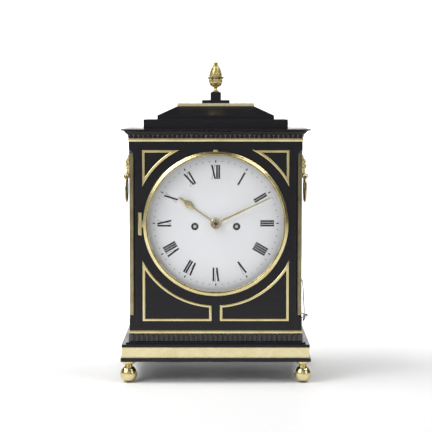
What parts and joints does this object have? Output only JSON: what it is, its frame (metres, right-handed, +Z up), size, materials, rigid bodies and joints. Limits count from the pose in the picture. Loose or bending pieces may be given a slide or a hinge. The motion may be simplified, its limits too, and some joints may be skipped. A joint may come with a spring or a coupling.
{
  "type": "bracket clock",
  "caption": "Bracket clock: ebonised case with brass mouldings, stepped roof and pineapple finial, round white dial behind a hinged bezel, ball feet and ring side handles.",
  "frame": {"origin": "centre of the case on the surface it stands on, under the middle of the plinth", "axes": "+X to the right seen from the front, the dial faces -Y, +Z up"},
  "size_m": [0.2829, 0.2042, 0.471],
  "materials": {
    "ebonised_wood": "black stained pearwood over oak, glossy wax and shellac polish",
    "inner_wood": "plain oiled oak, unpolished",
    "case_brass": "polished and lacquered cast brass",
    "movement_brass": "old brushed brass with a darker tone",
    "steel": "fine-ground clock steel",
    "bell_metal": "turned bell metal, greyish yellow",
    "dial_enamel": "white painted and varnished convex dial with black numerals",
    "glass": "clear polished glass",
    "cord": "dark braided cord",
    "silvered_metal": "silvered turned metal"
  },
  "bodies": {
    "case": {"foot_front_left": "case_brass", "foot_front_right": "case_brass", "foot_back_left": "case_brass", "foot_back_right": "case_brass", "plinth_brass_band": "case_brass", "lower_brass_string": "case_brass", "upper_brass_string": "case_brass", "roof_brass_moulding": "case_brass", "pineapple_finial": "case_brass", "left_corner_strip": "case_brass", "right_corner_strip": "case_brass", "left_lion_mask": "case_brass", "right_lion_mask": "case_brass", "left_sound_fret": "case_brass", "right_sound_fret": "case_brass", "upper_left_frame": "case_brass", "upper_right_frame": "case_brass", "lower_left_frame": "case_brass", "lower_right_frame": "case_brass", "bezel_hinge": "case_brass", "cord_bush": "case_brass", "back_door_hinge": "case_brass", "plinth": "ebonised_wood", "reeded_moulding": "ebonised_wood", "front_panel": "ebonised_wood", "cornice": "ebonised_wood", "roof": "ebonised_wood", "left_side_panel": "ebonised_wood", "right_side_panel": "ebonised_wood", "dial": "dial_enamel", "seatboard": "inner_wood", "movement_front_plate": "movement_brass", "movement_back_plate": "movement_brass", "pendulum_cock": "movement_brass", "bell": "bell_metal"},
    "bezel_door": {"bezel": "case_brass", "bezel_glass": "glass"},
    "back_door": {"back_door": "ebonised_wood", "back_door_glass": "glass"},
    "back_door_catch": {"back_door_catch": "case_brass"},
    "center_wheel": {"center_wheel": "movement_brass"},
    "third_wheel": {"third_wheel": "movement_brass"},
    "escape_wheel": {"escape_wheel": "movement_brass"},
    "going_great_wheel": {"going_great_wheel": "movement_brass"},
    "going_fusee": {"going_fusee": "movement_brass"},
    "going_barrel": {"going_barrel": "movement_brass"},
    "strike_fusee": {"strike_fusee": "movement_brass"},
    "strike_barrel": {"strike_barrel": "movement_brass"},
    "minute_hand": {"minute_hand": "case_brass", "cannon_wheel": "movement_brass"},
    "minute_wheel": {"minute_wheel": "movement_brass"},
    "hour_hand": {"hour_hand": "case_brass", "hour_wheel": "movement_brass"},
    "pallets": {"pallets": "steel"},
    "pendulum": {"pendulum": "movement_brass"},
    "bell_hammer": {"bell_hammer": "steel"},
    "left_ring": {"left_ring_handle": "case_brass"},
    "right_ring": {"right_ring_handle": "case_brass"},
    "cord_pull": {"cord_pull": "silvered_metal", "pull_cord": "cord"}
  },
  "joints": [
    {"name": "bezel_swing", "type": "hinge", "parent": "case", "child": "bezel_door", "pos_m": [-0.1095, -0.0905, 0.233], "axis": [0, 0, -1], "range_deg": [0, 110]},
    {"name": "back_door_swing", "type": "hinge", "parent": "case", "child": "back_door", "pos_m": [-0.1161, 0.0905, 0.2145], "axis": [0, 0, 1], "range_deg": [0, 110]},
    {"name": "catch_turn", "type": "hinge", "parent": "case", "child": "back_door_catch", "pos_m": [0.12125, 0.0898, 0.233], "axis": [0, 1, 0], "range_deg": [0, 90]},
    {"name": "center_wheel_turn", "type": "hinge", "parent": "case", "child": "center_wheel", "pos_m": [0, 0, 0.233], "axis": [0, 1, 0], "continuous": true},
    {"name": "third_wheel_turn", "type": "hinge", "parent": "case", "child": "third_wheel", "pos_m": [0.012, 0, 0.25747], "axis": [0, 1, 0], "continuous": true},
    {"name": "escape_wheel_turn", "type": "hinge", "parent": "case", "child": "escape_wheel", "pos_m": [0, 0, 0.27767], "axis": [0, 1, 0], "continuous": true},
    {"name": "great_wheel_turn", "type": "hinge", "parent": "case", "child": "going_great_wheel", "pos_m": [0.0305, 0, 0.2285], "axis": [0, 1, 0], "continuous": true},
    {"name": "minute_hand_turn", "type": "hinge", "parent": "case", "child": "minute_hand", "pos_m": [0, 0, 0.233], "axis": [0, 1, 0], "continuous": true},
    {"name": "minute_wheel_turn", "type": "hinge", "parent": "case", "child": "minute_wheel", "pos_m": [0, 0, 0.20425], "axis": [0, 1, 0], "continuous": true},
    {"name": "hour_hand_turn", "type": "hinge", "parent": "case", "child": "hour_hand", "pos_m": [0, 0, 0.233], "axis": [0, 1, 0], "continuous": true},
    {"name": "going_fusee_wind", "type": "hinge", "parent": "going_great_wheel", "child": "going_fusee", "pos_m": [0.0305, 0, 0.2285], "axis": [0, 1, 0], "continuous": true},
    {"name": "going_barrel_turn", "type": "hinge", "parent": "case", "child": "going_barrel", "pos_m": [0.033, 0, 0.188], "axis": [0, 1, 0], "continuous": true},
    {"name": "strike_fusee_wind", "type": "hinge", "parent": "case", "child": "strike_fusee", "pos_m": [-0.0305, 0, 0.2285], "axis": [0, 1, 0], "continuous": true},
    {"name": "strike_barrel_turn", "type": "hinge", "parent": "case", "child": "strike_barrel", "pos_m": [-0.033, 0, 0.188], "axis": [0, 1, 0], "continuous": true},
    {"name": "pendulum_swing", "type": "hinge", "parent": "case", "child": "pendulum", "pos_m": [0, 0, 0.29767], "axis": [0, 1, 0], "range_deg": [-3.5, 3.5]},
    {"name": "pallets_swing", "type": "hinge", "parent": "case", "child": "pallets", "pos_m": [0, 0, 0.29767], "axis": [0, 1, 0], "range_deg": [-3.5, 3.5]},
    {"name": "hammer_swing", "type": "hinge", "parent": "case", "child": "bell_hammer", "pos_m": [-0.043, 0, 0.288], "axis": [0, 1, 0], "range_deg": [-12, 3.5], "stiffness_Nm_per_rad": 0.02},
    {"name": "left_ring_swing", "type": "hinge", "parent": "case", "child": "left_ring", "pos_m": [-0.1355, 0, 0.298], "axis": [0, 1, 0], "range_deg": [-10, 95]},
    {"name": "right_ring_swing", "type": "hinge", "parent": "case", "child": "right_ring", "pos_m": [0.1355, 0, 0.298], "axis": [0, -1, 0], "range_deg": [-10, 95]},
    {"name": "cord_pull_slide", "type": "slide", "parent": "case", "child": "cord_pull", "axis": [0, 0, -1], "range_m": [0, 0.014], "stiffness_N_per_m": 100, "deforming": ["pull_cord"]}
  ],
  "couplings": [
    {"joint": "third_wheel_turn", "follows": "center_wheel_turn", "ratio": -12},
    {"joint": "escape_wheel_turn", "follows": "center_wheel_turn", "ratio": 132},
    {"joint": "great_wheel_turn", "follows": "center_wheel_turn", "ratio": -0.083333},
    {"joint": "minute_hand_turn", "follows": "center_wheel_turn", "ratio": 1},
    {"joint": "minute_wheel_turn", "follows": "center_wheel_turn", "ratio": -1},
    {"joint": "hour_hand_turn", "follows": "center_wheel_turn", "ratio": 0.083333},
    {"joint": "going_barrel_turn", "follows": "going_fusee_wind", "ratio": 0.7},
    {"joint": "strike_barrel_turn", "follows": "strike_fusee_wind", "ratio": 0.7},
    {"joint": "pallets_swing", "follows": "pendulum_swing", "ratio": 1}
  ]
}
